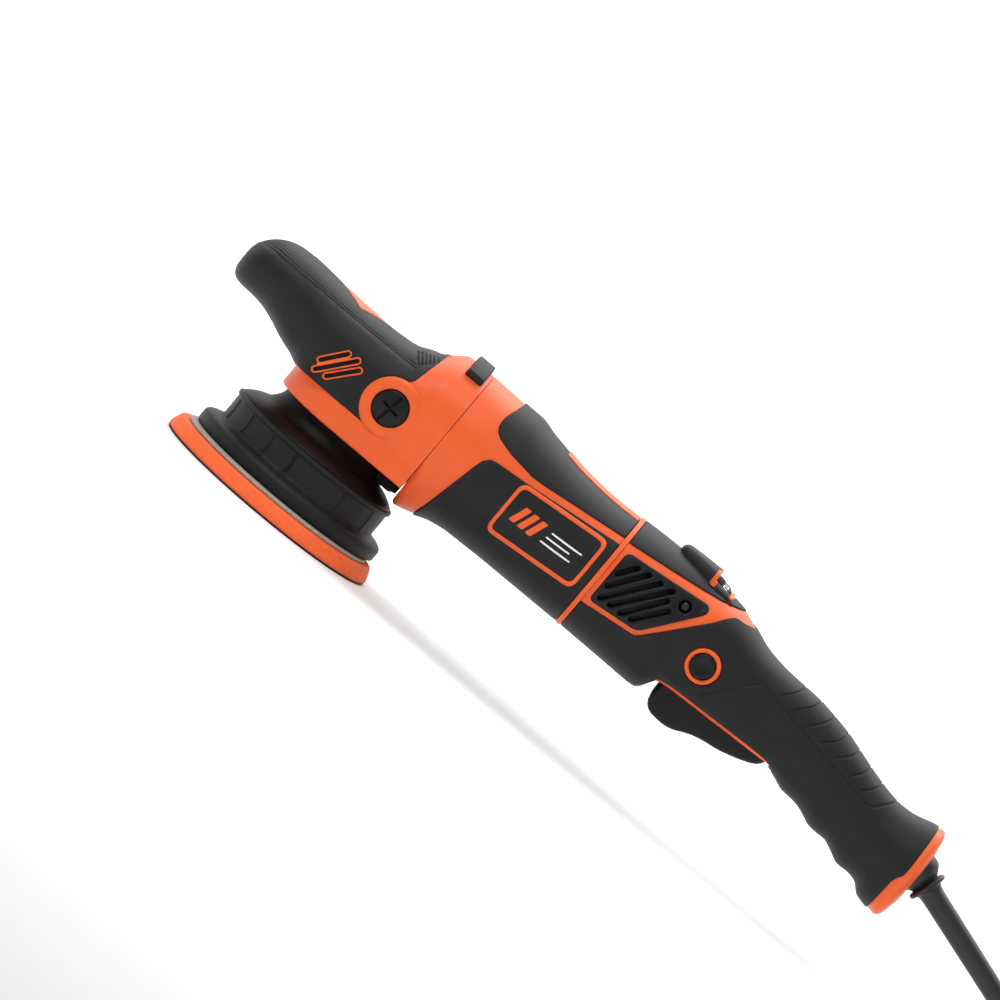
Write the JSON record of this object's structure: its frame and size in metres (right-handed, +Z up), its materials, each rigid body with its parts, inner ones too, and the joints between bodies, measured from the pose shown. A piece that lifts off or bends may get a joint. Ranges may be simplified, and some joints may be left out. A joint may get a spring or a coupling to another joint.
{
  "type": "random-orbital polisher",
  "caption": "Corded random-orbital car polisher: offset hook-and-loop pad, bevel-geared head, barrel motor housing and a long rear handle with paddle trigger.",
  "frame": {"origin": "spindle axis at the pad's working face", "axes": "+Z up from the pad into the head, +X back along the handle, -Y the tool's left side"},
  "size_m": [0.7399, 0.1936, 0.1242],
  "materials": {
    "orange_metal": "satin",
    "orange_plastic": "satin",
    "soft_black": "soft matt rubber",
    "hard_black": "fine-grained",
    "steel": "machined",
    "alloy": "cast",
    "copper": "enamelled",
    "carbon": "matt",
    "fan_plastic": "moulded",
    "board": "potted",
    "fibre": "pressed fibre",
    "foam": "closed-cell foam",
    "hook": "hook tape",
    "cord_black": "smooth",
    "tie": "woven"
  },
  "bodies": {
    "root": {"gear_housing": "orange_metal", "head_grip": "soft_black", "head_trim": "orange_plastic", "side_plugs": "hard_black", "top_bumper": "soft_black", "spindle_bearings": "steel", "bearing_retainer": "alloy", "head_screws": "steel", "neck_cone": "hard_black", "shroud": "soft_black", "bearing_plate": "alloy", "motor_housing": "orange_plastic", "panel_top": "soft_black", "panel_bottom": "soft_black", "nameplates": "orange_plastic", "stator_core": "steel", "field_coils": "copper", "motor_bearings": "steel", "brush_holders": "copper", "carbon_brushes": "carbon", "brush_springs": "steel", "housing_band": "orange_plastic", "rear_housing_left": "orange_plastic", "rear_housing_right": "orange_plastic", "handle_grip_left": "soft_black", "handle_grip_right": "soft_black", "dial_hood": "soft_black", "dial_bezel": "orange_plastic", "vent_covers": "hard_black", "housing_screws": "steel", "lock_bezel": "orange_plastic", "trigger_trim": "orange_plastic", "trigger_pin": "steel", "switch_body": "hard_black", "speed_controller": "board", "cord_clamp": "hard_black", "end_cap": "orange_plastic", "strain_relief": "cord_black", "cord": "cord_black", "cord_coil": "cord_black", "cord_tie": "tie", "plug": "cord_black"},
    "armature": {"armature_shaft": "steel", "armature_core": "steel", "commutator": "copper", "cooling_fan": "fan_plastic", "pinion": "steel"},
    "spindle": {"spindle": "steel", "crown_gear": "steel", "counterweight": "steel", "pad_bearing": "steel"},
    "pad": {"backing_plate": "fibre", "pad_hub": "alloy", "pad_foam": "foam", "hook_face": "hook", "pad_bolt": "steel"},
    "trigger": {"trigger": "hard_black"},
    "lock_button": {"lock_button": "hard_black"},
    "speed_dial": {"speed_dial": "hard_black"}
  },
  "joints": [
    {"name": "armature_spin", "type": "hinge", "parent": "root", "child": "armature", "pos_m": [0.1, 0, 0.081], "axis": [1, 0, 0], "continuous": true},
    {"name": "spindle_spin", "type": "hinge", "parent": "root", "child": "spindle", "pos_m": [0, 0, 0.07], "axis": [0, 0, 1], "continuous": true},
    {"name": "pad_spin", "type": "hinge", "parent": "spindle", "child": "pad", "pos_m": [-0.0024, -0.0071, 0.02], "axis": [0, 0, 1], "continuous": true},
    {"name": "trigger_pull", "type": "hinge", "parent": "root", "child": "trigger", "pos_m": [0.264, 0, 0.0646], "axis": [0, 1, 0], "range_deg": [0, 6], "stiffness_Nm_per_rad": 2, "springref_deg": -2.86},
    {"name": "lock_press", "type": "slide", "parent": "root", "child": "lock_button", "axis": [0, 1, 0], "range_m": [0, 0.003], "stiffness_N_per_m": 400, "springref_m": -0.001},
    {"name": "dial_turn", "type": "hinge", "parent": "root", "child": "speed_dial", "pos_m": [0.1946, 0, 0.1046], "axis": [0.9806, 0, -0.196], "range_deg": [-50, 200]}
  ],
  "couplings": [
    {"joint": "spindle_spin", "follows": "armature_spin", "ratio": 0.4}
  ]
}
